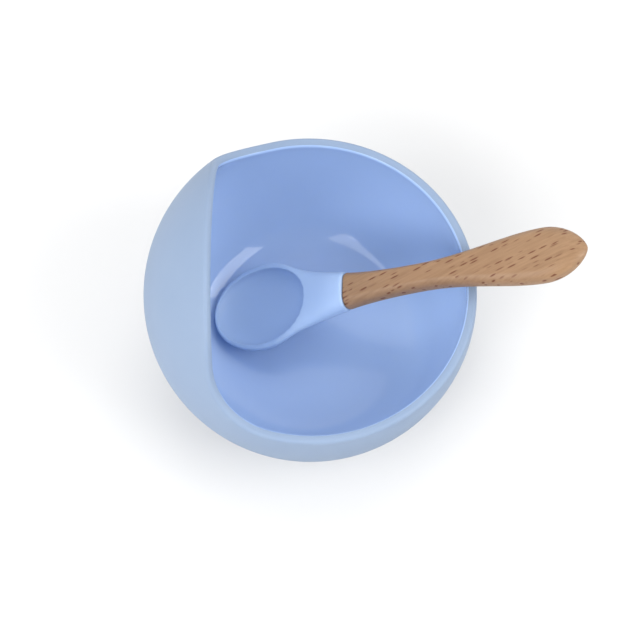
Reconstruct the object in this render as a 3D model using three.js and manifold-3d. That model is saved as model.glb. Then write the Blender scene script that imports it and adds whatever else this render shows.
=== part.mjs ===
// A silicone feeding bowl with a hood, its suction cup, and the spoon that lies in it.
// Millimetres, +Z up, z = 0 on the table. +X points to the low front rim, the hood stands at -X.
import * as THREE from 'three';
import { mergeVertices } from 'three/addons/utils/BufferGeometryUtils.js';
import Module from 'manifold-3d';

const wasm = await Module();
wasm.setup();

const { degToRad, lerp } = THREE.MathUtils;

// ---- Driving dimensions ----------------------------------------------------------------------

const touching_gap = 0.3; // left between pieces that touch

// The bowl is one ball, cut open by a side profile.
const ball_radius = 60;
const bowl_wall = 3.5;
const foot_radius = 38.5; // where the ball is cut flat
const floor_thickness = 6;
const floor_fillet = 18; // inside, between the flat floor and the ball
const front_rim_rise = 8.4; // over the ball's centre, on the bowl's axis
const front_rim_slope = -1.3; // degrees, falling towards the front
const hood_edge_back = 34; // from the axis back to the corner of rim and hood
const hood_edge_lean = 2.2; // degrees from upright, leaning back
const hood_corner_radius = 20;
const lip_round = 1.3; // on both edges of the lip

// The suction cup plugs into a recess under the foot.
const cup_overhang = 2.5; // beyond the bowl's foot, all round
const cup_height = 5.5; // from the table to the bowl's foot
const cup_lip_width = 2.5; // flat ring that seals on the table
const cup_lip_thickness = 0.9;
const cup_hollow_height = 3;
const cup_hollow_shape = [[0.55, 1], [0.8, 0.72], [0.93, 0.34]]; // shares of its radius and height
const plug_radius = 22;
const plug_depth = 3.2;
const tab_width = 14;
const tab_reach = 9; // beyond the cup's edge
const tab_thickness = 1.6;
const tab_bead_radius = 1.2;
const tab_bead_length = 7;

// The spoon's own frame: x = 0 at the mouth of its collar, +X along the handle, +Z out of its flat top.
const handle_length = 94.2;
const handle_collar_half = 7; // half width at the collar
const handle_waist_half = 4.85;
const handle_paddle_half = 10.25;
const handle_waist_at = 29;
const handle_paddle_at = 78;
const handle_neck_depth = 5; // from the spine down
const handle_paddle_depth = 5.3;
const handle_facet_rise = 4.3; // flat top facet over the spine
const handle_camber = 0.6; // the spine's rise at mid length
const handle_nose_power = 0.66; // 0.5 is a round nose, more is pointed
const squareness = 0.8; // of every section: 1 is an ellipse, less is squarer
const tenon_length = 10;
const tenon_half_width = 4.4;
const tenon_half_height = 2.4;
const tenon_drop = 0.8; // below the spine

const collar_half_width = 7.4;
const collar_half_height = 5.3;
const neck_length = 16.8; // from the collar's mouth to the edge of the recess
const neck_reach = 24; // where the neck runs out into the scoop's sides
const neck_flare = 7.3; // what it gains on each side by then
const neck_end_rise = 2.2; // its top over the collar's axis, where it runs out
const neck_end_drop = 2.5; // its underside below the axis, there
const recess_length = 38;
const recess_width = 30.2;
const recess_depth = 6.5;
const scoop_lip = 2.2; // beside the recess
const scoop_tip_lip = 1.1; // at its far end
const scoop_wall = 1.8; // under the recess
const head_bend = 10.7; // degrees that the scoop is bent down from the handle's line
const scoop_curl = 5.1; // how far the scoop's rim curves up by its far end

// How the spoon lies in the bowl: its handle rests on the front rim and its scoop on the floor.
const spoon_yaw = -1.1; // degrees
const collar_forward = 13.5; // from the bowl's axis to the collar's mouth
const collar_aside = 6.3;
const rim_gap = 1.3; // handle to rim, measured over the lip's rounding
const scoop_gap = 0.8; // scoop to the bowl's inside

// ---- Sizes that follow -----------------------------------------------------------------------

const inner_radius = ball_radius - bowl_wall;
const foot_drop = Math.sqrt(ball_radius ** 2 - foot_radius ** 2);
const ball_height = cup_height + foot_drop;
const cup_radius = foot_radius + cup_overhang;

// These three are measured from the ball's centre.
const floor_level = floor_thickness - foot_drop;
const fillet_z = floor_level + floor_fillet;
const fillet_r = Math.sqrt((inner_radius - floor_fillet) ** 2 - fillet_z ** 2);

// ---- Helpers ---------------------------------------------------------------------------------

/** Turns an outline of [radius, height] points about the Z axis. */
function revolve(outline, segments) {
  const points = outline.map(([radius, height]) => new THREE.Vector2(radius, height));
  return new THREE.LatheGeometry(points, segments).rotateX(Math.PI / 2);
}

/** Points of an arc in the [radius, height] plane, angles in degrees from the outward direction. */
function arc(centre_r, centre_z, radius, from_deg, to_deg, steps) {
  return Array.from({ length: steps + 1 }, (_, i) => {
    const angle = degToRad(lerp(from_deg, to_deg, i / steps));
    return [centre_r + radius * Math.cos(angle), centre_z + radius * Math.sin(angle)];
  });
}

/** Moves every vertex of a lathed grid to where place(column share, row index) says. */
function reshape(geometry, columns, rows, place) {
  const position = geometry.attributes.position;
  const point = new THREE.Vector3();
  for (let column = 0; column <= columns; column++) {
    for (let row = 0; row < rows; row++) {
      place(point, (column % columns) / columns, row);
      position.setXYZ(column * rows + row, point.x, point.y, point.z);
    }
  }
  return geometry;
}

/** A closed triangle mesh as a manifold-3d solid. */
function solid(geometry) {
  const bare = geometry.clone();
  bare.deleteAttribute('normal');
  bare.deleteAttribute('uv');
  const merged = mergeVertices(bare, 1e-5);
  const corners = merged.index.array;
  const kept = [];
  for (let i = 0; i < corners.length; i += 3) {
    const [a, b, c] = corners.subarray(i, i + 3);
    if (a !== b && b !== c && c !== a) kept.push(a, b, c);
  }
  return new wasm.Manifold(new wasm.Mesh({
    numProp: 3,
    vertProperties: new Float32Array(merged.attributes.position.array),
    triVerts: new Uint32Array(kept),
  }));
}

/** A manifold-3d solid as geometry. */
function geometryOf(body) {
  const { vertProperties, triVerts } = body.getMesh();
  const geometry = new THREE.BufferGeometry();
  geometry.setAttribute('position', new THREE.BufferAttribute(new Float32Array(vertProperties), 3));
  geometry.setIndex(new THREE.BufferAttribute(new Uint32Array(triVerts), 1));
  return geometry;
}

/** One named piece of the object. */
function piece(name, body, colour, roughness) {
  const material = new THREE.MeshStandardMaterial({ color: colour, roughness, metalness: 0 });
  const mesh = new THREE.Mesh(geometryOf(body), material);
  mesh.name = name;
  return mesh;
}

/** Goes from one value to another as t goes from 0 to 1, level at both ends. */
function ease(from, to, t) {
  return lerp(from, to, THREE.MathUtils.smoothstep(t, 0, 1));
}

// ---- Bowl ------------------------------------------------------------------------------------

/** Where a straight line from a point of the XZ plane leaves the ball. */
function leaveBall(point, direction) {
  const along = point.dot(direction);
  const reach = Math.sqrt(along ** 2 + ball_radius ** 2 - point.lengthSq()) - along;
  return point.clone().addScaledVector(direction, reach);
}

/** The bowl's edge: the side profile, carried sideways until it meets the ball. */
function rimCurve() {
  const slope = degToRad(front_rim_slope);
  const lean = degToRad(hood_edge_lean);
  const forward = new THREE.Vector2(Math.cos(slope), Math.sin(slope));
  const upward = new THREE.Vector2(-Math.sin(lean), Math.cos(lean));
  const rim_at_corner = front_rim_rise - hood_edge_back * Math.tan(slope);
  const corner = new THREE.Vector2(-hood_edge_back, rim_at_corner);
  const half_angle = Math.acos(forward.dot(upward)) / 2;
  const trimmed = hood_corner_radius / Math.tan(half_angle);
  const front_end = leaveBall(corner, forward);
  const hood_end = leaveBall(corner, upward);
  const side = new THREE.CurvePath();
  const fillet_from = corner.clone().addScaledVector(forward, trimmed);
  const fillet_to = corner.clone().addScaledVector(upward, trimmed);
  const across = forward.clone().add(upward).normalize();
  const fillet_centre = corner.clone().addScaledVector(across, hood_corner_radius / Math.sin(half_angle));
  side.add(new THREE.LineCurve(front_end, fillet_from));
  side.add(new THREE.EllipseCurve(
    fillet_centre.x, fillet_centre.y, hood_corner_radius, hood_corner_radius,
    fillet_from.clone().sub(fillet_centre).angle(), fillet_to.clone().sub(fillet_centre).angle(), true,
  ));
  side.add(new THREE.LineCurve(fillet_to, hood_end));
  const samples = 160;
  const half = Array.from({ length: samples + 1 }, (_, i) => {
    // closer together at both ends, where the edge turns across the bowl
    const share = (1 - Math.cos(Math.PI * i / samples)) / 2;
    const { x, y: z } = side.getPointAt(share);
    const y = Math.sqrt(Math.max(0, ball_radius ** 2 - x ** 2 - z ** 2));
    return new THREE.Vector3(x, y, z);
  });
  const other_half = half.slice(1, -1).reverse().map((p) => new THREE.Vector3(p.x, -p.y, p.z));
  return new THREE.CatmullRomCurve3([...half, ...other_half], true);
}

/** The moulded bowl: every column of a lathed bowl is stretched up to the rim curve. */
function bowlShell() {
  const columns = 80;
  const wall_rows = 10;
  const round_rows = 4;
  const rim = rimCurve();
  rim.arcLengthDivisions = 2000;

  // Foot edge and floor fillet are plain turned shapes, so they are rows of radius and height.
  const edge_round = 2.5;
  const edge_z = edge_round - foot_drop;
  const edge_r = Math.sqrt((ball_radius - edge_round) ** 2 - edge_z ** 2);
  const edge_angle = THREE.MathUtils.radToDeg(Math.atan2(edge_z, edge_r));
  const foot_rows = [
    [0, plug_depth - foot_drop],
    [plug_radius, plug_depth - foot_drop],
    [plug_radius, -foot_drop],
    ...arc(edge_r, edge_z, edge_round, -90, edge_angle, round_rows),
  ];
  const fillet_angle = THREE.MathUtils.radToDeg(Math.atan2(fillet_z, fillet_r));
  const floor_rows = [
    ...arc(fillet_r, fillet_z, floor_fillet, fillet_angle, -90, 8),
    [0, floor_level],
  ];

  // Lip rows: how far back from the edge, and how far out from the ball's centre.
  const rounding = arc(0, 0, lip_round, 0, 90, round_rows);
  const lip_rows = [
    ...rounding.map(([c, s]) => [lip_round - s, ball_radius - lip_round + c]),
    ...rounding.toReversed().map(([c, s]) => [lip_round - s, inner_radius + lip_round - c]),
  ];

  const outer_from = foot_rows.length;
  const lip_from = outer_from + wall_rows;
  const inner_from = lip_from + lip_rows.length;
  const floor_from = inner_from + wall_rows;
  const rows = floor_from + floor_rows.length;

  // Directions from the ball's centre for one column.
  function directions(share) {
    const edge = rim.getPointAt(share).normalize();
    const along = rim.getTangentAt(share);
    const down = new THREE.Vector3().crossVectors(along, edge).normalize();
    const azimuth = share * 2 * Math.PI;
    const plain = (r, z) => new THREE.Vector3(r * Math.cos(azimuth), r * Math.sin(azimuth), z);
    const back = (distance) => edge.clone().addScaledVector(down, distance / ball_radius).normalize();
    return { plain, back };
  }

  function place(point, share, row) {
    const { plain, back } = directions(share);
    if (row < outer_from) {
      point.copy(plain(...foot_rows[row]));
    } else if (row < lip_from) {
      const t = (row - outer_from + 1) / (wall_rows + 1);
      const start = plain(...foot_rows.at(-1)).normalize();
      point.copy(start).lerp(back(lip_round), t).setLength(ball_radius);
    } else if (row < inner_from) {
      const [distance, radius] = lip_rows[row - lip_from];
      point.copy(back(distance)).setLength(radius);
    } else if (row < floor_from) {
      const t = (row - inner_from + 1) / (wall_rows + 1);
      const end = plain(...floor_rows[0]).normalize();
      point.copy(back(lip_round)).lerp(end, t).setLength(inner_radius);
    } else {
      point.copy(plain(...floor_rows[row - floor_from]));
    }
    point.z += ball_height;
  }

  const blank = revolve(Array.from({ length: rows }, (_, row) => [1, row]), columns);
  return solid(reshape(blank, columns, rows, place));
}

// ---- Suction cup -----------------------------------------------------------------------------

function suctionCup() {
  const segments = 72;
  const top = cup_height - touching_gap;
  const hollow_radius = cup_radius - cup_lip_width;
  const seat_radius = foot_radius - 2;
  const disc = solid(revolve([
    [0, cup_hollow_height],
    ...cup_hollow_shape.map(([out, up]) => [hollow_radius * out, cup_hollow_height * up]),
    [hollow_radius, 0],
    [cup_radius, 0],
    [cup_radius, cup_lip_thickness],
    [seat_radius, top],
    [plug_radius - touching_gap, top],
    [plug_radius - touching_gap, top + plug_depth - touching_gap],
    [0, top + plug_depth - touching_gap],
  ], segments));

  // The lift tab: a flat tongue with a round end and a bead to grip, on the cup's front edge.
  const tab_root = cup_radius - cup_lip_width;
  const tab_end = cup_radius + tab_reach - tab_width / 2;
  const outline = new THREE.Shape();
  outline.moveTo(tab_root, -tab_width / 2);
  outline.lineTo(tab_end, -tab_width / 2);
  outline.absarc(tab_end, 0, tab_width / 2, -Math.PI / 2, Math.PI / 2, false);
  outline.lineTo(tab_root, tab_width / 2);
  outline.closePath();
  const tongue = new THREE.ExtrudeGeometry(outline, {
    depth: tab_thickness, bevelEnabled: false, curveSegments: 14,
  });
  const bead = new THREE.CapsuleGeometry(tab_bead_radius, tab_bead_length, 6, 14);
  bead.translate(tab_end + tab_bead_length / 2, 0, tab_thickness);
  return disc.add(solid(tongue)).add(solid(bead));
}

// ---- Spoon -----------------------------------------------------------------------------------

/** A point of a squarish round section: 0 degrees points aside, 90 degrees points up. */
function sectionPoint(angle, half_width, half_height) {
  const soft = (value) => Math.sign(value) * Math.abs(value) ** squareness;
  return [half_width * soft(Math.cos(angle)), half_height * soft(Math.sin(angle))];
}

/** A closed body lofted along X: stations are x positions, section(share, x) gives [y, z]. */
function loft(stations, columns, section) {
  // the first and last row lie in the middle of the end faces, so that they close the body
  const places = [stations[0], ...stations, stations.at(-1)];
  const rows = places.length;
  const blank = revolve(places.map((_, row) => [1, row]), columns);
  return solid(reshape(blank, columns, rows, (point, share, row) => {
    const x = places[row];
    if (row === 0 || row === rows - 1) {
      point.set(x, 0, (section(0.25, x)[1] + section(0.75, x)[1]) / 2);
    } else {
      point.set(x, ...section(share, x));
    }
  }));
}

/** Even positions from one x to another. */
function spaced(from, to, count) {
  return Array.from({ length: count }, (_, i) => lerp(from, to, i / (count - 1)));
}

function handleHalfWidth(x) {
  if (x < handle_waist_at) {
    return ease(handle_collar_half, handle_waist_half, Math.sqrt(Math.max(0, x) / handle_waist_at));
  }
  const late = 1.15; // the flare gathers towards the paddle
  const flare = (Math.min(x, handle_paddle_at) - handle_waist_at) / (handle_paddle_at - handle_waist_at);
  return ease(handle_waist_half, handle_paddle_half, flare ** late);
}

/** 1 along the handle, falling to 0 round its nose. */
function noseShare(x) {
  const t = Math.max(0, (x - handle_paddle_at) / (handle_length - handle_paddle_at));
  return Math.max(0, 1 - t * t) ** handle_nose_power;
}

/** The handle's section: a flat facet on top, round below. */
function handleSection(share, x) {
  const nose = noseShare(x);
  const least = 0.02; // the nose ends in a face this small
  const half_width = Math.max(handleHalfWidth(x) * nose, least);
  const depth_share = (x - handle_waist_at) / (handle_paddle_at - handle_waist_at);
  const depth = Math.max(ease(handle_neck_depth, handle_paddle_depth, depth_share) * nose, least);
  const facet = Math.min(handle_facet_rise, depth * 0.999);
  const ridge_angle = Math.asin((facet / depth) ** (1 / squareness));
  const facet_share = 0.25;
  const camber = handle_camber * Math.sin(Math.PI * x / handle_length);
  // shares from 1/8 to 3/8 run over the facet, the rest runs round below it
  const from_facet = share - (0.25 - facet_share / 2);
  if (from_facet >= 0 && from_facet <= facet_share) {
    const [ridge_y] = sectionPoint(ridge_angle, half_width, depth);
    return [lerp(ridge_y, -ridge_y, from_facet / facet_share), facet + camber];
  }
  const round_share = ((from_facet - facet_share + 1) % 1) / (1 - facet_share);
  const angle = lerp(Math.PI - ridge_angle, 2 * Math.PI + ridge_angle, round_share);
  const [y, z] = sectionPoint(angle, half_width, depth);
  return [y, z + camber];
}

/** The tenon, or with a clearance the socket that takes it. */
function tenonBody(from, to, clearance) {
  return loft([from, to], 28, (share) => {
    const [y, z] = sectionPoint(
      share * 2 * Math.PI, tenon_half_width + clearance, tenon_half_height + clearance,
    );
    return [y, z - tenon_drop];
  });
}

function spoonHandle() {
  const columns = 40;
  const tenon_root = 2; // how far the tenon reaches into the handle
  const nose_stations = spaced(0, Math.PI / 2, 9).slice(1).map((angle) => (
    handle_paddle_at + (handle_length - handle_paddle_at) * Math.sin(angle)
  ));
  const stations = [...spaced(touching_gap, handle_paddle_at, 22), ...nose_stations];
  const blade = loft(stations, columns, handleSection);
  return blade.add(tenonBody(-tenon_length, tenon_root, 0));
}

/** A shallow dish with its near edge at x = near, curling up towards its far end. */
function dish(near, length, width, depth, top) {
  const fullness = 0.9; // 1 is an ellipsoid, less is fuller
  const rim_steps = 12;
  const profile = [[0, -depth]];
  for (let i = 1; i <= rim_steps; i++) {
    const angle = (i / rim_steps) * Math.PI / 2;
    profile.push([Math.sin(angle) ** fullness, -depth * Math.cos(angle) ** fullness]);
  }
  profile.push([1, top], [0, top]);
  const geometry = revolve(profile, 56);
  geometry.scale(length / 2, width / 2, 1);
  geometry.translate(near - length / 2, 0, 0);
  const position = geometry.attributes.position;
  for (let i = 0; i < position.count; i++) {
    const far = position.getX(i) / recess_length;
    position.setZ(i, position.getZ(i) + scoop_curl * far ** 2);
  }
  return solid(geometry);
}

function spoonHead() {
  // the scoop is drawn flat about the recess's near edge, then bent down and set on the neck's top
  const outer_length = recess_length + scoop_lip + scoop_tip_lip;
  const outer_width = recess_width + 2 * scoop_lip;
  const above_rim = 10; // the recess is cut up through here
  const outer = dish(scoop_lip, outer_length, outer_width, recess_depth + scoop_wall, 0);
  const recess = dish(0, recess_length, recess_width, recess_depth, above_rim);
  const lay = (body) => body
    .rotate([0, -head_bend, 0])
    .translate([-neck_length, 0, neckTop(-neck_length)]);
  const neck = loft(spaced(-neck_reach, 0, 16), 40, neckSection);
  const past_mouth = 1;
  const socket = tenonBody(-tenon_length - touching_gap, past_mouth, touching_gap);
  return lay(outer).add(neck).subtract(lay(recess)).subtract(socket);
}

/** Height of the neck's top face. */
function neckTop(x) {
  return ease(collar_half_height, neck_end_rise, -x / neck_reach);
}

function neckSection(share, x) {
  const late = 1.4; // the neck flares mostly near the scoop
  const t = -x / neck_reach;
  const half_width = collar_half_width + neck_flare * t ** late;
  const top = neckTop(x);
  const bottom = ease(-collar_half_height, -neck_end_drop, t * t);
  const [y, z] = sectionPoint(share * 2 * Math.PI, half_width, (top - bottom) / 2);
  return [y, z + (top + bottom) / 2];
}

// ---- How the spoon lies ----------------------------------------------------------------------

/** How far inside the bowl a point lies, measured from the bowl's inner surface. */
function insideBy(point) {
  const radius = Math.hypot(point.x, point.y);
  const height = point.z - ball_height;
  const in_fillet = radius > fillet_r && radius * -fillet_z < -height * fillet_r;
  if (in_fillet) return floor_fillet - Math.hypot(radius - fillet_r, height - fillet_z);
  return Math.min(inner_radius - Math.hypot(radius, height), height - floor_level);
}

/** Turns the spoon down until its scoop lies on the floor, with its handle on the front rim. */
function layInBowl(group, head_mesh) {
  const rim_front = rimCurve().getPointAt(0);
  const forward = rim_front.x - collar_forward;

  function lie(pitch) {
    const under_at_rim = handleSection(0.75, forward / Math.cos(pitch))[1];
    const up = rim_front.z + (rim_gap - under_at_rim) / Math.cos(pitch) - forward * Math.tan(pitch);
    group.rotation.set(0, -pitch, degToRad(spoon_yaw), 'ZYX');
    group.position.set(collar_forward, collar_aside, ball_height + up);
    group.updateMatrixWorld();
  }

  function clearance() {
    const position = head_mesh.geometry.attributes.position;
    const point = new THREE.Vector3();
    let least = Infinity;
    for (let i = 0; i < position.count; i++) {
      point.fromBufferAttribute(position, i).applyMatrix4(group.matrixWorld);
      least = Math.min(least, insideBy(point));
    }
    return least;
  }

  // halve the range of pitch until the scoop's gap is the one wanted
  let low = degToRad(5);
  let high = degToRad(60);
  const halvings = 24;
  for (let i = 0; i < halvings; i++) {
    const middle = (low + high) / 2;
    lie(middle);
    if (clearance() > scoop_gap) low = middle;
    else high = middle;
  }
}

// ---- The whole set ---------------------------------------------------------------------------

const silicone = 0xa3b5cf;
const set = new THREE.Group();

set.add(piece('suction_cup', suctionCup(), 0x9fb2ce, 0.7));
set.add(piece('bowl_shell', bowlShell(), silicone, 0.45));

const head = piece('spoon_head', spoonHead(), 0x9db5da, 0.6);
const handle = piece('spoon_handle', spoonHandle(), 0xad8a6a, 0.55);
const spoon = new THREE.Group();
spoon.add(head, handle);
layInBowl(spoon, head);
set.add(spoon);

// The origin is under the middle of the whole set.
const extent = new THREE.Box3().setFromObject(set, true);
set.position.x = -(extent.min.x + extent.max.x) / 2;
set.position.y = -(extent.min.y + extent.max.y) / 2;

export default set;
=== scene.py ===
# %% [markdown]
# # A silicone feeding bowl and its spoon
# The bowl is one ball of soft silicone, cut open so that a low rim is left at the front and a hood at the back.
# It stands on a suction cup, and a spoon with a beech handle lies in it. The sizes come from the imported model,
# which is loaded first and gives every piece its place.

import math
from bisect import bisect_right

import bmesh
import bpy
from mathutils import Matrix, Vector


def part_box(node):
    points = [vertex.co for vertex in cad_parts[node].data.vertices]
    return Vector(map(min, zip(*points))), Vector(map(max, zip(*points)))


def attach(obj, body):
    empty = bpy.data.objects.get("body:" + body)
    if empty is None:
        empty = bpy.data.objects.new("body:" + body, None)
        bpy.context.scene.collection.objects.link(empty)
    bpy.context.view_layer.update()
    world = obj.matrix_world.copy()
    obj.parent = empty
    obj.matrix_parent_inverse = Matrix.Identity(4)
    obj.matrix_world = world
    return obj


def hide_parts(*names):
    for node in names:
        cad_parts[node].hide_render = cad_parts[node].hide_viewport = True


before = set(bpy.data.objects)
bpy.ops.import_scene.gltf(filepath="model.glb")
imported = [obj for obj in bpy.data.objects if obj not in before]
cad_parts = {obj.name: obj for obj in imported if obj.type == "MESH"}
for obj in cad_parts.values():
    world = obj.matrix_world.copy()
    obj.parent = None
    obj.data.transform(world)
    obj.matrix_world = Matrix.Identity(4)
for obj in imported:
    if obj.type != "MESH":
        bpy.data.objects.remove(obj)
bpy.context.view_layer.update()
mm = 0.001

# %% [markdown]
# ## Sizes
# The ball, its wall and its flat foot are the sizes that everything else hangs on. The suction cup is round but
# for its tongue at the front, so the back of its box says where the bowl's upright axis stands.

# %% Driving sizes of the bowl
ball_radius = 60 * mm
bowl_wall = 3.5 * mm
inner_radius = ball_radius - bowl_wall
foot_radius = 38.5 * mm
foot_drop = math.sqrt(ball_radius**2 - foot_radius**2)
floor_thickness = 6 * mm
floor_fillet = 18 * mm
lip_round = 1.3 * mm

cup_overhang = 2.5 * mm
cup_radius = foot_radius + cup_overhang
foot_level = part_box("bowl_shell")[0][2]
ball_centre = Vector((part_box("suction_cup")[0][0] + cup_radius, 0, foot_level + foot_drop))
print("ball centre", [round(v / mm, 1) for v in ball_centre], "mm")

# %% [markdown]
# ## Shader arithmetic
# A material here is written as an expression. A `Wire` is one output socket: adding or multiplying wires adds
# the Math nodes that do it, so `1 - mask` reads as it does on paper. Every other node comes from `node()`.


# %% Wires and nodes
class Wire:
    """One node output that can be used in a Python expression."""

    def __init__(self, paint, socket):
        self.paint = paint
        self.socket = socket

    def math(self, operation, *inputs, clamp=False):
        settings = {"operation": operation, "use_clamp": clamp}
        return self.paint.node("ShaderNodeMath", settings, dict(enumerate(inputs)))

    def __add__(self, other):
        return self.math("ADD", self, other)

    def __sub__(self, other):
        return self.math("SUBTRACT", self, other)

    def __rsub__(self, other):
        return self.math("SUBTRACT", other, self)

    def __mul__(self, other):
        return self.math("MULTIPLY", self, other)

    __radd__ = __add__
    __rmul__ = __mul__

    def ramp(self, low, high):
        """0 below low, 1 above high, straight between; low may be the larger one."""
        slope = 1 / (high - low)
        return self.math("MULTIPLY_ADD", self, slope, -low * slope, clamp=True)


class Paint:
    """One material, or one sky, and the nodes in it."""

    def __init__(self, name, kept_in=bpy.data.materials):
        self.owner = kept_in.new(name)
        self.owner.use_nodes = True
        self.tree = self.owner.node_tree
        self.tree.nodes.clear()

    def node(self, kind, settings, sockets, output=0):
        made = self.tree.nodes.new(kind)
        for key, value in settings.items():
            setattr(made, key, value)
        self.fill(made, sockets)
        return Wire(self, made.outputs[output])

    def fill(self, made, sockets):
        for key, value in sockets.items():
            if isinstance(value, Wire):
                self.tree.links.new(value.socket, made.inputs[key])
            else:
                made.inputs[key].default_value = value

    def place(self, centre=(0, 0, 0), turn=(0, 0, 0), scale=(1, 1, 1)):
        """Object coordinates, in metres, moved, turned and stretched by a Mapping node."""
        here = self.node("ShaderNodeTexCoord", {}, {}, "Object")
        centred = self.node("ShaderNodeVectorMath", {"operation": "SUBTRACT"}, {0: here, 1: centre})
        turned = self.node("ShaderNodeMapping", {}, {"Vector": centred, "Rotation": turn})
        return self.node("ShaderNodeVectorMath", {"operation": "MULTIPLY"}, {0: turned, 1: scale})

    def noise(self, where, scale, detail=2.0, roughness=0.5):
        values = {"Vector": where, "Scale": scale, "Detail": detail, "Roughness": roughness}
        return self.node("ShaderNodeTexNoise", {}, values, "Fac")

    def mix(self, share, first, second, blend="MIX"):
        """Mixes two colours."""
        settings = {"data_type": "RGBA", "blend_type": blend}
        return self.node("ShaderNodeMix", settings, {0: share, 6: first, 7: second}, 2)

    def bump(self, height, distance, strength=1.0, under=None):
        values = {"Height": height, "Distance": distance, "Strength": strength}
        if under is not None:
            values["Normal"] = under
        return self.node("ShaderNodeBump", {}, values)

    def finish(self, **sockets):
        """Ends the material with one Principled shader."""
        names = {key.replace("_", " "): value for key, value in sockets.items()}
        return self.end("ShaderNodeOutputMaterial", self.node("ShaderNodeBsdfPrincipled", {}, names))

    def end(self, kind, shader):
        """Joins the shader to the output node, which has no sockets of its own to go on from."""
        self.fill(self.tree.nodes.new(kind), {"Surface": shader})
        return self.owner


def srgb(red, green, blue):
    """A colour given as a paint chart gives it, 0 to 255, turned into light values."""
    def light(value):
        value = value / 255
        return value / 12.92 if value <= 0.04045 else ((value + 0.055) / 1.055) ** 2.4

    return (light(red), light(green), light(blue), 1.0)


# %% [markdown]
# ## Silicone
# Silicone takes the finish of its mould. The outside of the bowl came from a blasted mould and is matt as
# chalk, with a grain too fine to see but rough enough to break up every reflection. The inside came from a
# polished core, so it is glossy and shows the lamps. Both are the same pigmented rubber, so one function makes
# them, but the finish differs and the outside is also given a darker colour than the inside: painted shade.
# Noise gives the mottle and the grain, and a Voronoi pattern with most of its cells hidden by another noise
# gives the few specks of dust that such rubber always picks up.


# %% Silicone
dust_grey = srgb(70, 84, 120)


def silicone(name, colour, shade, roughness, grain_height, grain_size, waviness):
    """Pigmented rubber: a slight mottle, a mould grain, a slow waviness and a few specks of dust.

    The grain's height and size and the height of the waviness are lengths. All the rest has no unit.
    """
    paint = Paint(name)
    where = paint.place()
    mottle = paint.noise(where, 38, 3.0)
    cloud = paint.noise(where, 9, 1.0)
    tint = paint.mix(mottle.ramp(0.35, 0.7) * 0.5 + cloud.ramp(0.3, 0.7) * 0.5, colour, shade)
    speck = paint.node("ShaderNodeTexVoronoi", {}, {"Vector": where, "Scale": 85}, "Distance")
    dusty = paint.noise(where, 23, 1.0).ramp(0.54, 0.62)
    dust = speck.ramp(0.045, 0.02) * dusty
    base = paint.mix(dust * 0.28, tint, dust_grey)
    wavy = paint.bump(paint.noise(where, 55, 1.0), waviness)
    normal = paint.bump(paint.noise(where, 1 / grain_size, 2.0), grain_height, under=wavy)
    gloss = mottle * 0.06 + (roughness - 0.03)
    return paint.finish(
        Base_Color=base, Roughness=gloss, Normal=normal, IOR=1.42,
        Subsurface_Weight=0.08, Subsurface_Radius=(1.0, 1.2, 1.6), Subsurface_Scale=2 * mm,
    )


# %% The four finishes
# The outside's colour is darker than the inside's, though both are one rubber: that darkening is painted shade.
outside_matt_painted_shade = silicone(
    "bowl_outside_matt", srgb(125, 142, 166), srgb(120, 138, 163), 0.55, 0.02 * mm, 0.35 * mm, 0.03 * mm,
)
inside_gloss = silicone(
    "bowl_inside_gloss", srgb(155, 179, 216), srgb(151, 175, 213), 0.045, 0.001 * mm, 0.6 * mm, 0.006 * mm,
)
spoon_matt = silicone(
    "spoon_silicone_matt", srgb(152, 175, 208), srgb(148, 171, 205), 0.5, 0.02 * mm, 0.4 * mm, 0.03 * mm,
)
cup_soft = silicone(
    "suction_cup_soft", srgb(134, 153, 182), srgb(130, 149, 178), 0.4, 0.01 * mm, 0.5 * mm, 0.02 * mm,
)
print("silicone finishes", [m.name for m in (outside_matt_painted_shade, inside_gloss, spoon_matt, cup_soft)])

# %% [markdown]
# ## Helpers for meshes
# Each piece is drawn as a section of loose points joined by edges, spun about an axis, and then pulled into
# its final shape by moving the spun points. Spinning closes the shape, so no seam has to be sewn by hand.


# %% Sections and spinning
def arc(centre_r, centre_z, radius, from_deg, to_deg, steps):
    """Points of an arc as (radius, height) pairs."""
    points = []
    for i in range(steps + 1):
        angle = math.radians(from_deg + (to_deg - from_deg) * i / steps)
        points.append((centre_r + radius * math.cos(angle), centre_z + radius * math.sin(angle)))
    return points


def spin_section(points, axis, segments):
    """Spins (radius, height) points into a closed shape. The axis is Z or X."""
    bm = bmesh.new()
    upright = axis == "Z"
    corners = [bm.verts.new((r, 0, h) if upright else (h, r, 0)) for r, h in points]
    edges = [bm.edges.new(pair) for pair in zip(corners, corners[1:])]
    bmesh.ops.spin(
        bm, geom=corners + edges, cent=(0, 0, 0), axis=(0, 0, 1) if upright else (1, 0, 0),
        angle=2 * math.pi, steps=segments, use_merge=True,
    )
    bmesh.ops.remove_doubles(bm, verts=bm.verts, dist=1e-7)
    bmesh.ops.recalc_face_normals(bm, faces=bm.faces)
    return bm


# %% Finished pieces
def finished(bm, name, body, node, slot, *materials):
    """Turns a bmesh into a named, smooth piece that rides on its body and stands for its CAD node."""
    mesh = bpy.data.meshes.new(name)
    bm.to_mesh(mesh)
    bm.free()
    mesh.shade_smooth()
    piece = bpy.data.objects.new(name, mesh)
    bpy.context.scene.collection.objects.link(piece)
    for material in materials:
        mesh.materials.append(material)
    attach(piece, body)
    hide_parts(node)
    print(name, len(mesh.polygons), "faces")
    return piece


# %% [markdown]
# ## Joining and cutting
# Some forms are easier to put together than to draw in one go. A Boolean modifier joins two closed meshes or
# cuts one out of the other. Its result is kept at once, so that the next step starts from a plain mesh.


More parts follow.
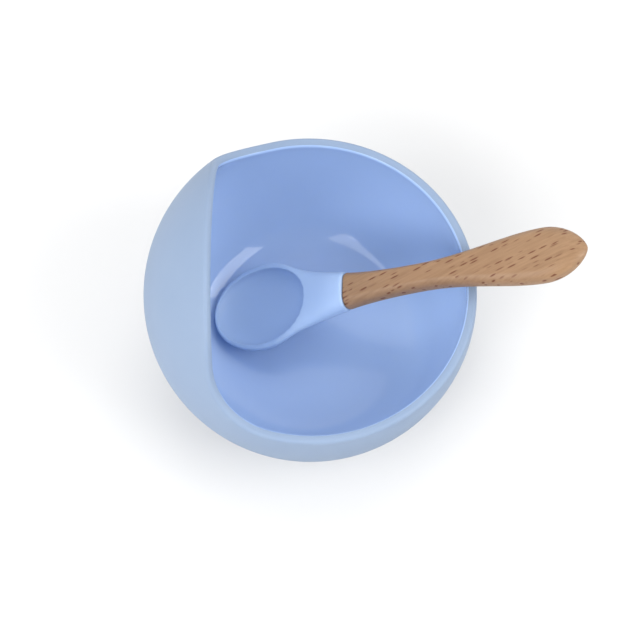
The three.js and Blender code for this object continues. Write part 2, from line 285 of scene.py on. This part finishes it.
# %% Join and cut
def combine(piece, operation, other):
    """Joins another closed bmesh to the piece, or cuts it away, and keeps the result."""
    mesh = bpy.data.meshes.new("tool")
    other.to_mesh(mesh)
    other.free()
    tool = bpy.data.objects.new("tool", mesh)
    bpy.context.scene.collection.objects.link(tool)
    change = piece.modifiers.new("combine", "BOOLEAN")
    change.operation = operation
    change.solver = "EXACT"
    change.object = tool
    keep_modified(piece)
    bpy.data.objects.remove(tool)
    bpy.data.meshes.remove(mesh)


def keep_modified(piece):
    """Makes the mesh what its modifiers show, and drops the modifiers."""
    seen = piece.evaluated_get(bpy.context.evaluated_depsgraph_get())
    shaped = bpy.data.meshes.new_from_object(seen)
    piece.modifiers.clear()
    piece.data = shaped


# %% [markdown]
# ## The bowl's edge
# Seen from the side the cut is two straight lines with a round corner between them: the front rim falls
# slightly to the front, and the hood's edge leans slightly back. Carried sideways, that profile meets the ball
# in one closed curve. The curve is stored by its length, so that points can be spread evenly along it.

# %% Rim curve
front_rim_rise = 8.4 * mm
front_rim_slope = math.radians(-1.3)
hood_edge_back = 34 * mm
hood_edge_lean = math.radians(2.2)
hood_corner_radius = 20 * mm


def side_profile(steps):
    """The cut seen from the side: front line, round corner, hood line."""
    forward = Vector((math.cos(front_rim_slope), math.sin(front_rim_slope)))
    upward = Vector((-math.sin(hood_edge_lean), math.cos(hood_edge_lean)))
    corner = Vector((-hood_edge_back, front_rim_rise - hood_edge_back * math.tan(front_rim_slope)))
    half_angle = forward.angle(upward) / 2
    trimmed = hood_corner_radius / math.tan(half_angle)
    centre = corner + (forward + upward).normalized() * hood_corner_radius / math.sin(half_angle)

    def leave_ball(direction):
        """Where a line from the corner meets the ball's outline."""
        along = corner.dot(direction)
        return corner + direction * (math.sqrt(along**2 + ball_radius**2 - corner.length_squared) - along)

    front_end, hood_end = leave_ball(forward), leave_ball(upward)
    turn_from = corner + forward * trimmed - centre
    turn_by = turn_from.angle_signed(corner + upward * trimmed - centre)
    points = []
    for i in range(steps):
        # closer together at both ends, where the edge turns across the bowl
        points.append(front_end.lerp(corner + forward * trimmed, 1 - math.cos(math.pi / 2 * i / steps)))
    for i in range(steps):
        angle = -turn_by * i / steps
        points.append(centre + Matrix.Rotation(angle, 2) @ turn_from)
    for i in range(steps + 1):
        points.append((corner + upward * trimmed).lerp(hood_end, math.sin(math.pi / 2 * i / steps)))
    return points


half_rim = []
for x, z in side_profile(120):
    half_rim.append(Vector((x, math.sqrt(max(0, ball_radius**2 - x**2 - z**2)), z)))
rim = half_rim + [Vector((p.x, -p.y, p.z)) for p in reversed(half_rim[:-1])]
rim_length = [0.0]
for before, after in zip(rim, rim[1:]):
    rim_length.append(rim_length[-1] + (after - before).length)
print("rim", round(rim_length[-1] / mm), "mm round, hood top", round(max(p.z for p in rim) / mm, 1), "mm up")


def rim_at(share):
    """The rim point at a share of its length, and the direction of the rim there."""
    length = (share % 1) * rim_length[-1]
    i = min(bisect_right(rim_length, length), len(rim) - 1)
    before, after = rim[i - 1], rim[i]
    t = (length - rim_length[i - 1]) / (rim_length[i] - rim_length[i - 1])
    return before.lerp(after, t), (after - before).normalized()


# %% [markdown]
# ## The bowl
# A bowl with a level rim is spun first: flat foot, ball, rounded lip, ball again, and a wide fillet into the
# flat floor. Then each wall point is pulled along the ball so that the lip follows the rim curve. The lip keeps
# its section, because lip points are measured square to the rim and only the wall between is stretched.

# %% Bowl sizes
level_rim = 0.0  # elevation of the level rim before it is pulled, from the ball's centre
pull_from = math.radians(-30)  # below this elevation nothing moves
foot_edge_round = 2.5 * mm
recess_round = 0.5 * mm
plug_radius = 22 * mm
plug_depth = 3.2 * mm
wall_steps = 60
print("wall", bowl_wall / mm, "mm, floor", floor_thickness / mm, "mm, foot recess", plug_depth / mm, "mm deep")


# %% Bowl section
def around_ball(radius, from_angle, to_angle):
    """Points on a ball between two elevations, without the first and last."""
    angles = [from_angle + (to_angle - from_angle) * i / wall_steps for i in range(1, wall_steps)]
    return [(radius * math.cos(a), radius * math.sin(a)) for a in angles]


def foot_section():
    """The recess for the suction cup's plug, the flat foot and its round edge. Also where the ball begins."""
    top = plug_depth - foot_drop
    edge_z = foot_edge_round - foot_drop
    edge_r = math.sqrt((ball_radius - foot_edge_round) ** 2 - edge_z**2)
    edge_angle = math.atan2(edge_z, edge_r)
    foot = [(0, top), (plug_radius - recess_round, top)]
    foot += arc(plug_radius - recess_round, top - recess_round, recess_round, 90, 0, 4)
    foot += arc(plug_radius + recess_round, recess_round - foot_drop, recess_round, 180, 270, 4)
    foot += arc(edge_r, edge_z, foot_edge_round, -90, math.degrees(edge_angle), 8)
    return foot, edge_angle


def lip_section():
    """Two quarter rounds: from the outside up to the rim's top, then down to the inside."""
    quarter_steps = 6
    lip = []
    for centre, turn in ((ball_radius - lip_round, 1), (inner_radius + lip_round, -1)):
        for i in range(quarter_steps + 1)[::turn]:
            angle = math.pi / 2 * i / quarter_steps
            back = lip_round * (1 - math.sin(angle)) / ball_radius
            out = centre + turn * lip_round * math.cos(angle)
            lip.append((out * math.cos(level_rim - back), out * math.sin(level_rim - back)))
    return lip


def floor_section():
    """The inside fillet and the flat floor. Also where the ball ends."""
    floor_level = floor_thickness - foot_drop
    fillet_z = floor_level + floor_fillet
    fillet_r = math.sqrt((inner_radius - floor_fillet) ** 2 - fillet_z**2)
    fillet_angle = math.atan2(fillet_z, fillet_r)
    inside = arc(fillet_r, fillet_z, floor_fillet, math.degrees(fillet_angle), -90, 24)
    inside += [(fillet_r * share, floor_level) for share in (0.75, 0.5, 0.25, 0)]
    return inside, fillet_angle


def bowl_section():
    foot, edge_angle = foot_section()
    inside, fillet_angle = floor_section()
    lip_foot = level_rim - lip_round / ball_radius
    outer_wall = around_ball(ball_radius, edge_angle, lip_foot)
    inner_wall = around_ball(inner_radius, lip_foot, fillet_angle)
    return foot + outer_wall + lip_section() + inner_wall + inside


print("bowl section", len(bowl_section()), "points")


# %% Pull the rim into place
def pulled(point):
    """Where a point of the level bowl goes when its rim is pulled onto the rim curve."""
    radius = point.length
    elevation = math.asin(point.z / radius)
    if elevation <= pull_from:
        return point
    azimuth = math.atan2(point.y, point.x)
    edge, along = rim_at(azimuth / (2 * math.pi))
    edge.normalize()
    down = along.cross(edge).normalized()
    lip_elevation = level_rim - lip_round / ball_radius
    if elevation >= lip_elevation:
        back = level_rim - elevation
        return (edge + down * back).normalized() * radius
    flat = Vector((math.cos(azimuth), math.sin(azimuth), 0)) * math.cos(pull_from)
    start = flat + Vector((0, 0, math.sin(pull_from)))
    end = (edge + down * (lip_round / ball_radius)).normalized()
    share = (elevation - pull_from) / (lip_elevation - pull_from)
    return start.slerp(end, share) * radius


# %% Spin the bowl
bowl = spin_section(bowl_section(), "Z", 320)
for vert in bowl.verts:
    vert.co = pulled(vert.co)
bmesh.ops.translate(bowl, verts=bowl.verts, vec=ball_centre)
bowl.normal_update()
slack = 0.1 * mm
gloss_over_lip = 0.6 * mm  # how far the polished finish runs onto the lip
lowest_inside = foot_level + floor_thickness - slack
for face in bowl.faces:
    middle = face.calc_center_median()
    out = middle - ball_centre
    faces_in = out.length < inner_radius + gloss_over_lip and face.normal.dot(out) < 0
    face.material_index = 1 if faces_in and middle.z > lowest_inside else 0
finished(bowl, "feeding_bowl", "bowl", "bowl_shell", "bowl_silicone", outside_matt_painted_shade, inside_gloss)

# %% [markdown]
# ## The suction cup
# Under the foot sits a softer disc. Its thin skirt spreads to a flat sealing ring, it is hollow below so that
# pressing the bowl down drives the air out, and a tongue at the front lifts the ring to let it go.

# %% Suction cup sizes
cup_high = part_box("suction_cup")[1]
gap = 0.3 * mm
cup_top = foot_level - gap
cup_lip_width = 2.5 * mm
cup_lip_thickness = 0.9 * mm
cup_hollow_height = 3 * mm
cup_seat_inset = 2 * mm  # how far inside the foot's edge the skirt begins
cup_hollow_steepness = 2.2
cup_skirt_bow = 1.3  # 1 is a straight cone, more bows the skirt inwards
cup_plug_round = 0.6 * mm
tab_width = 14 * mm
tab_thickness = 1.6 * mm
tab_edge_round = 0.4 * mm
tab_bead_radius = 1.2 * mm
tab_bead_length = 7 * mm
tab_end = cup_high[0] - tab_width / 2  # the middle of the tongue's round end
print("suction cup", round(2 * cup_radius / mm, 1), "mm across, foot", round(foot_level / mm, 1), "mm up")


# %% Suction cup section
def smooth_step(t):
    t = min(max(t, 0), 1)
    return t * t * (3 - 2 * t)


def cup_section():
    ring_inner = cup_radius - cup_lip_width
    seat = foot_radius - cup_seat_inset
    plug = plug_radius - gap
    plug_top = cup_top + plug_depth - gap
    hollow = []
    for i in range(17):
        share = i / 16
        height = cup_hollow_height * smooth_step(cup_hollow_steepness * (1 - share))
        hollow.append((ring_inner * share, height))
    half_lip = cup_lip_thickness / 2
    edge = arc(cup_radius - half_lip, half_lip, half_lip, -90, 90, 8)
    skirt = []
    for i in range(1, 8):
        share = i / 8
        rise = share**cup_skirt_bow
        skirt.append((
            cup_radius - half_lip + (seat - cup_radius + half_lip) * share,
            cup_lip_thickness + (cup_top - cup_lip_thickness) * rise,
        ))
    plug_edge = arc(plug - cup_plug_round, plug_top - cup_plug_round, cup_plug_round, 0, 90, 5)
    return hollow + edge + skirt + [(seat, cup_top), (plug, cup_top)] + plug_edge + [(0, plug_top)]


# %% Lift tongue and its bead
def tongue_mesh():
    """The lift tongue: a flat strip with a round end and softened edges."""
    bm = bmesh.new()
    bmesh.ops.create_circle(bm, cap_ends=True, radius=tab_width / 2, segments=48)
    root = ball_centre.x + cup_radius - cup_lip_width
    for vert in bm.verts:
        vert.co.x = vert.co.x + tab_end if vert.co.x > 0 else root
    bmesh.ops.remove_doubles(bm, verts=bm.verts, dist=0.001 * mm)
    grown = bmesh.ops.extrude_face_region(bm, geom=bm.faces[:])
    lifted = [item for item in grown["geom"] if isinstance(item, bmesh.types.BMVert)]
    bmesh.ops.translate(bm, verts=lifted, vec=(0, 0, tab_thickness))
    rims = [e for e in bm.edges if abs(e.verts[0].co.z - e.verts[1].co.z) < 0.001 * mm]
    bmesh.ops.bevel(
        bm, geom=rims, offset=tab_edge_round, segments=4, profile=0.5, affect="EDGES", material=-1,
        clamp_overlap=True,
    )
    bmesh.ops.recalc_face_normals(bm, faces=bm.faces)
    return bm


def bead_mesh():
    """A rounded bar that lies across the tongue's end."""
    bm = bmesh.new()
    bmesh.ops.create_uvsphere(bm, u_segments=24, v_segments=20, radius=tab_bead_radius)
    for vert in bm.verts:
        if abs(vert.co.z) > 0.001 * mm:  # the ring round the middle stays where it is
            vert.co.z += math.copysign(tab_bead_length / 2, vert.co.z)
    bmesh.ops.rotate(bm, verts=bm.verts, cent=(0, 0, 0), matrix=Matrix.Rotation(math.pi / 2, 3, "X"))
    bmesh.ops.translate(bm, verts=bm.verts, vec=(tab_end + tab_bead_length / 2, 0, tab_thickness))
    return bm


# %% Put the suction cup together
cup = spin_section(cup_section(), "Z", 160)
bmesh.ops.translate(cup, verts=cup.verts, vec=(ball_centre.x, 0, 0))
suction_foot = finished(cup, "suction_foot", "suction_base", "suction_cup", "soft_silicone", cup_soft)
combine(suction_foot, "UNION", tongue_mesh())
combine(suction_foot, "UNION", bead_mesh())
suction_foot.data.shade_smooth()
print("suction foot", len(suction_foot.data.polygons), "faces")

# %% [markdown]
# ## The spoon's own frame
# Handle and head are drawn in a frame of their own: x = 0 at the mouth of the silicone collar, +X along the
# handle and +Z out of its flat top. One matrix then lays both in the bowl.

# %% Spoon sizes
handle_length = 94.2 * mm
collar_half = 7 * mm
waist_half = 4.85 * mm
paddle_half = 10.25 * mm
waist_at = 29 * mm
paddle_at = 78 * mm
neck_depth = 5 * mm
paddle_depth = 5.3 * mm
facet_rise = 4.3 * mm
ridge_softness = 0.25 * mm
camber = 0.6 * mm
nose_power = 0.66
squareness = 0.8  # 1 is an ellipse, less is squarer
tenon_length = 10 * mm
tenon_half_width = 4.4 * mm
tenon_half_height = 2.4 * mm
tenon_drop = 0.8 * mm
spoon_pitch = math.radians(28.17)
spoon_yaw = math.radians(-1.1)
print("handle", handle_length / mm, "mm long,", 2 * paddle_half / mm, "mm wide")


# %% Curves for the spoon
def ease(start, end, t):
    return start + (end - start) * smooth_step(t)


def section_point(share, half_width, half_height):
    """A point of a squarish round section; share 0 is aside and a quarter is up."""
    angle = 2 * math.pi * share

    def soft(value):
        return math.copysign(abs(value) ** squareness, value)

    return half_width * soft(math.cos(angle)), half_height * soft(math.sin(angle))


def smooth_min(a, b, softness):
    """The smaller of two values, with a round change from one to the other."""
    t = min(max(0.5 + 0.5 * (b - a) / softness, 0), 1)
    return b + (a - b) * t - softness * t * (1 - t)


def share_of(vert):
    """Where a point of a spun rod lies round its axis, as a share of a turn."""
    return math.atan2(vert.co.z, vert.co.y) / (2 * math.pi) % 1


# %% [markdown]
# ## The beech handle
# The handle is spun as a plain rod with a thinner peg for its tenon. Each ring is then given its real section:
# a flat facet on top, a round belly below, a waist behind the collar and a broad paddle that ends in a blunt
# nose. A smooth minimum cuts the facet, so the two ridges beside it come out rounded, as sandpaper leaves them.

# %% Handle section
peg = 0.5  # rings of this radius become the tenon, rings of radius 1 the handle
end_softness = 0.35 * mm  # how far the wood's end is rounded off where it meets the collar


def handle_section(share, x):
    nose_t = max(0, (x - paddle_at) / (handle_length - paddle_at))
    nose = max(0, 1 - nose_t**2) ** nose_power
    flare = max(0, (min(x, paddle_at) - waist_at) / (paddle_at - waist_at)) ** 1.15
    half_width = ease(waist_half, paddle_half, flare)
    if x < waist_at:
        half_width = ease(collar_half, waist_half, math.sqrt(x / waist_at))
    depth = ease(neck_depth, paddle_depth, (x - waist_at) / (paddle_at - waist_at))
    y, z = section_point(share, half_width * nose, depth * nose)
    end_round = end_softness * max(0, 1 - x / mm)
    y, z = y * (1 - end_round / half_width), z * (1 - end_round / depth)
    return y, smooth_min(z, facet_rise, ridge_softness) + camber * math.sin(math.pi * x / handle_length)


# %% Handle mesh
def handle_mesh():
    body = [gap + (paddle_at - gap) * i / 130 for i in range(131)]
    nose_length = handle_length - paddle_at
    nose = [paddle_at + nose_length * math.sin(math.pi / 2 * i / 44) for i in range(1, 44)]
    first = [gap + end_softness, gap + 2 * end_softness]
    rod = [(0, -tenon_length), (peg, -tenon_length), (peg, gap), (1, gap)]
    rod += [(1, x) for x in first + body[2:] + nose] + [(0, handle_length)]
    bm = spin_section(rod, "X", 112)
    for vert in bm.verts:
        x, share, ring = vert.co.x, share_of(vert), vert.co.yz.length
        if ring > (1 + peg) / 2:
            vert.co = (x, *handle_section(share, x))
        elif ring > peg / 2:
            y, z = section_point(share, tenon_half_width, tenon_half_height)
            vert.co = (x, y, z - tenon_drop)
        else:
            vert.co = (x, 0, -tenon_drop if x < 0 else 0)
    bmesh.ops.recalc_face_normals(bm, faces=bm.faces)
    return bm


# %% Lay the handle in the bowl
handle = handle_mesh()
lay = Matrix.Rotation(spoon_yaw, 4, "Z") @ Matrix.Rotation(-spoon_pitch, 4, "Y")
bmesh.ops.transform(handle, matrix=lay, verts=handle.verts)
handle_high = Vector([max(v.co[i] for v in handle.verts) for i in range(3)])
to_place = Vector(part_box("spoon_handle")[1]) - handle_high
bmesh.ops.translate(handle, verts=handle.verts, vec=to_place)
lay = Matrix.Translation(to_place) @ lay
print("collar at", [round(v / mm, 1) for v in lay.translation])

# %% [markdown]
# ## The silicone spoon head
# The head is moulded in one go over the tenon. It is put together as a moulder would think of it: the outside
# of the scoop, a neck that runs into it, and then the hollow and the socket cut out. A voxel remesh turns the
# result into one even skin, and a little smoothing rounds every edge and blends the neck into the scoop, which
# is what a silicone mould does.

# %% Head sizes
collar_half_width = 7.4 * mm
collar_half_height = 5.3 * mm
neck_length = 16.8 * mm
neck_reach = 24 * mm
neck_flare = 7.3 * mm
neck_end_rise = 2.2 * mm
neck_end_drop = 2.5 * mm
recess_length = 38 * mm
recess_width = 30.2 * mm
recess_depth = 6.5 * mm
scoop_lip = 2.2 * mm
scoop_tip_lip = 1.1 * mm
scoop_wall = 1.8 * mm
scoop_curl = 5.1 * mm
head_bend = math.radians(10.7)  # downwards from the handle's line
fullness = 0.9  # 1 is an ellipsoid, less is fuller
outer_length = recess_length + scoop_lip + scoop_tip_lip
outer_width = recess_width + 2 * scoop_lip
print("scoop", round(outer_length / mm, 1), "mm long,", round(outer_width / mm, 1), "mm wide")


# %% Neck
def neck_top(x):
    return ease(collar_half_height, neck_end_rise, -x / neck_reach)


def neck_mesh():
    late = 1.4  # the neck flares mostly near the scoop
    stations = [-neck_reach * i / 30 for i in range(31)]
    rod = [(0, 0)] + [(1, x) for x in stations] + [(0, -neck_reach)]
    bm = spin_section(rod, "X", 80)
    for vert in bm.verts:
        x, share = vert.co.x, share_of(vert)
        t = -x / neck_reach
        half_width = collar_half_width + neck_flare * t**late
        top, bottom = neck_top(x), ease(-collar_half_height, -neck_end_drop, t * t)
        y, z = section_point(share, half_width, (top - bottom) / 2)
        on_axis = vert.co.yz.length < 0.5
        vert.co = (x, 0 if on_axis else y, (top + bottom) / 2 + (0 if on_axis else z))
    bmesh.ops.recalc_face_normals(bm, faces=bm.faces)
    return bm


# %% Scoop and socket
def dish_mesh(near, length, width, depth, top):
    """A shallow dish whose near edge is at x = near. It curls up towards its far end."""
    profile = [(0, -depth)]
    for i in range(1, 29):
        angle = math.pi / 2 * i / 28
        profile.append((math.sin(angle) ** fullness, -depth * math.cos(angle) ** fullness))
    profile += [(1, top)] if top > 0 else []
    bm = spin_section(profile + [(0, top)], "Z", 128)
    for vert in bm.verts:
        x, y, z = vert.co.x * length / 2 + near - length / 2, vert.co.y * width / 2, vert.co.z
        vert.co = (x, y, z + scoop_curl * (x / recess_length) ** 2)
    bent = Matrix.Translation((-neck_length, 0, neck_top(-neck_length))) @ Matrix.Rotation(-head_bend, 4, "Y")
    bmesh.ops.transform(bm, matrix=bent, verts=bm.verts)
    return bm


def socket_mesh():
    """The room for the tenon, which runs a little past the collar's mouth so that the cut is clean."""
    bottom, past_mouth = -tenon_length - gap, 1 * mm
    bm = spin_section([(0, bottom), (1, bottom), (1, past_mouth), (0, past_mouth)], "X", 56)
    for vert in bm.verts:
        if vert.co.yz.length > 0.5:
            y, z = section_point(share_of(vert), tenon_half_width + gap, tenon_half_height + gap)
            vert.co = (vert.co.x, y, z - tenon_drop)
        else:
            vert.co.z = -tenon_drop
    bmesh.ops.recalc_face_normals(bm, faces=bm.faces)
    return bm


# %% Skin and blend
def remesh(piece, voxel, passes):
    """Gives the piece one even skin of small faces and softens it."""
    skin = piece.modifiers.new("skin", "REMESH")
    skin.mode = "VOXEL"
    skin.voxel_size = voxel
    soften = piece.modifiers.new("soften", "SMOOTH")
    soften.factor = 0.5
    soften.iterations = passes
    keep_modified(piece)


def blend_join(piece, from_x, to_x, passes):
    """Smooths a stretch of the piece, most in its middle, so that two forms run into each other."""
    bm = bmesh.new()
    bm.from_mesh(piece.data)
    middle = (from_x + to_x) / 2
    for i in range(passes):
        half = (to_x - from_x) / 2 * (1 - 0.8 * i / passes)
        zone = [v for v in bm.verts if abs(v.co.x - middle) < half]
        bmesh.ops.smooth_vert(bm, verts=zone, factor=0.5, use_axis_x=True, use_axis_y=True, use_axis_z=True)
    bm.to_mesh(piece.data)
    bm.free()


# %% Build the head
coarse_skin, fine_skin = 0.5 * mm, 0.33 * mm
above_rim = 10 * mm  # the hollow is cut up through here
blend_from, blend_to = -neck_length - 12 * mm, -6 * mm  # where neck and scoop run into each other
outer = dish_mesh(scoop_lip, outer_length, outer_width, recess_depth + scoop_wall, 0)
head = finished(outer, "spoon_head_skin", "spoon", "spoon_head", "spoon_silicone", spoon_matt)
combine(head, "UNION", neck_mesh())
remesh(head, coarse_skin, 2)
blend_join(head, blend_from, blend_to, 60)
combine(head, "DIFFERENCE", dish_mesh(0, recess_length, recess_width, recess_depth, above_rim))
combine(head, "DIFFERENCE", socket_mesh())
remesh(head, fine_skin, 4)
head.data.transform(lay)
head.data.shade_smooth()
print("spoon head", len(head.data.polygons), "faces")

# %% [markdown]
# ## Beech wood
# Steamed beech is a pinkish tan. Its grain is fine and faint, and its rays show as short dark flecks, each two
# or three millimetres long, that lie at a slant to the handle because the blank was cut at a slant. Noise that
# is stretched along the slant makes the grain. A stretched Voronoi pattern makes the flecks: each cell could
# hold one, and the cell's random colour picks the few that do.

# %% Beech
def beech():
    paint = Paint("beech_oiled")
    along = paint.place(tuple(lay.translation), (0, spoon_pitch, 0))

    def stretched(turn, scale):
        turned = paint.node("ShaderNodeMapping", {}, {"Vector": along, "Rotation": (0, 0, turn)})
        return paint.node("ShaderNodeVectorMath", {"operation": "MULTIPLY"}, {0: turned, 1: scale})

    slant = math.radians(-17)
    grain = paint.noise(stretched(slant, (90, 1300, 700)), 1.0, 4.0, 0.62)
    streak = paint.noise(stretched(slant, (16, 190, 190)), 1.0, 3.0, 0.5)
    cloud = paint.noise(along, 55, 2.0)
    cells = stretched(slant, (235, 1350, 800))
    from_middle = paint.node("ShaderNodeTexVoronoi", {}, {"Vector": cells, "Scale": 1.0}, "Distance")
    lot = paint.node("ShaderNodeTexVoronoi", {}, {"Vector": cells, "Scale": 1.0}, "Color")
    picked = paint.node("ShaderNodeSeparateColor", {}, {"Color": lot}, "Red").ramp(0.72, 0.80)
    fleck = from_middle.ramp(0.5, 0.28) * picked
    light, mid, deep = srgb(146, 116, 87), srgb(124, 94, 67), srgb(88, 40, 20)
    tan = paint.mix(grain.ramp(0.32, 0.7) * 0.7 + streak.ramp(0.35, 0.7) * 0.3, light, mid)
    tan = paint.mix(cloud.ramp(0.35, 0.7) * 0.3, tan, srgb(132, 100, 74))
    base = paint.mix(fleck * 0.85, tan, deep)
    normal = paint.bump(grain * 0.35 - fleck, 0.05 * mm)
    roughness = grain * 0.12 + fleck * 0.15 + 0.4
    return paint.finish(Base_Color=base, Roughness=roughness, Normal=normal, IOR=1.45)


finished(handle, "beech_handle", "spoon", "spoon_handle", "beech", beech())

# %% [markdown]
# ## Camera
# The bowl is seen from above and in front, through a long lens that keeps the ball nearly round. The Standard
# view transform keeps the pale colours as they are painted.

# %% Camera
camera_elevation = math.radians(67)
camera_turn = math.radians(0.6)
camera_distance = 811.8 * mm
camera = bpy.data.objects.new("camera", bpy.data.cameras.new("camera"))
bpy.context.scene.collection.objects.link(camera)
camera.data.lens = 126.56
camera.data.sensor_width = 36
camera.data.shift_x = 0.0153
camera.data.shift_y = -0.0388
toward = Vector((
    math.sin(camera_turn) * math.cos(camera_elevation),
    -math.cos(camera_turn) * math.cos(camera_elevation),
    math.sin(camera_elevation),
))
camera.location = ball_centre + toward * camera_distance
camera.rotation_euler = toward.to_track_quat("Z", "Y").to_euler()
bpy.context.scene.camera = camera
bpy.context.scene.view_settings.view_transform = "Standard"
print("camera", camera.data.lens, "mm lens,", round(camera_distance / mm), "mm from the ball's centre")

# %% [markdown]
# ## Lamps
# Two large softboxes, one at each side, light the bowl and are mirrored in its glossy inside. A tube in front of
# each draws a thin bright line in the reflection. The two fills are there only for their soft light, so they are
# hidden from reflections. The sky is dim in front of the bowl and bright behind it.


# %% Lamps
def lamp(name, direction, distance, long_side, size, power, mirrored=True):
    """A rectangular lamp that faces the ball, with its long side laid as near as can be to a line."""
    away = Vector(direction).normalized()
    along = (Vector(long_side) - away * away.dot(Vector(long_side))).normalized()
    made = bpy.data.objects.new(name, bpy.data.lights.new(name, "AREA"))
    made.data.shape = "RECTANGLE"
    made.data.size, made.data.size_y = size
    made.data.energy = power
    made.visible_glossy = mirrored
    facing = Matrix((along, away.cross(along), away)).transposed()
    made.matrix_world = Matrix.Translation(ball_centre + away * distance) @ facing.to_4x4()
    bpy.context.scene.collection.objects.link(made)
    print(name, power, "W")


box_away, tube_away = 1.2, 1.15
lamp("softbox_left", (-0.65, -0.53, 0.55), box_away, (0, 0, 1), (1.4, 0.95), 12.5)
lamp("softbox_right", (0.8, -0.25, 0.55), box_away, (0, 0, 1), (1.1, 0.8), 12.5)
lamp("fill_front", (-0.3, -0.68, 0.6), box_away, (0.92, -0.39, 0), (0.7, 0.7), 6.5, mirrored=False)
lamp("fill_top", (0, 0.4, 0.85), box_away, (1, 0, 0), (0.7, 0.7), 3.5, mirrored=False)
lamp("tube_left", (-0.65, -0.52, 0.54), tube_away, (-0.51, 0.34, -0.29), (0.75, 0.02), 0.4)
lamp("tube_right", (0.85, -0.27, 0.46), tube_away, (0.07, 0.52, 0.18), (0.6, 0.02), 0.35)

# %% Sky
sky_level, sky_change = 0.76, 0.66
sky = Paint("studio_sky", bpy.data.worlds)
direction = sky.node("ShaderNodeTexCoord", {}, {}, "Generated")
behind = sky.node("ShaderNodeSeparateXYZ", {}, {0: direction}, "Y")
glow = sky.node("ShaderNodeBackground", {}, {"Color": (1, 1, 1, 1), "Strength": behind * sky_change + sky_level})
bpy.context.scene.world = sky.end("ShaderNodeOutputWorld", glow)
print("sky", round(sky_level - sky_change, 2), "in front to", round(sky_level + sky_change, 2), "behind")

# %% [markdown]
# ## Floor
# A plain pale sheet, wide enough to fill the view.

# %% Floor sheet
floor_half = 3
floor_bm = bmesh.new()
bmesh.ops.create_grid(floor_bm, x_segments=1, y_segments=1, size=floor_half)
floor_mesh = bpy.data.meshes.new("studio_floor")
floor_bm.to_mesh(floor_mesh)
floor_bm.free()
floor_mesh.materials.append(Paint("studio_floor").finish(Base_Color=(0.61, 0.61, 0.61, 1), Roughness=0.8))
floor = bpy.data.objects.new("studio_floor", floor_mesh)
bpy.context.scene.collection.objects.link(floor)
print("floor sheet", 2 * floor_half, "m wide")
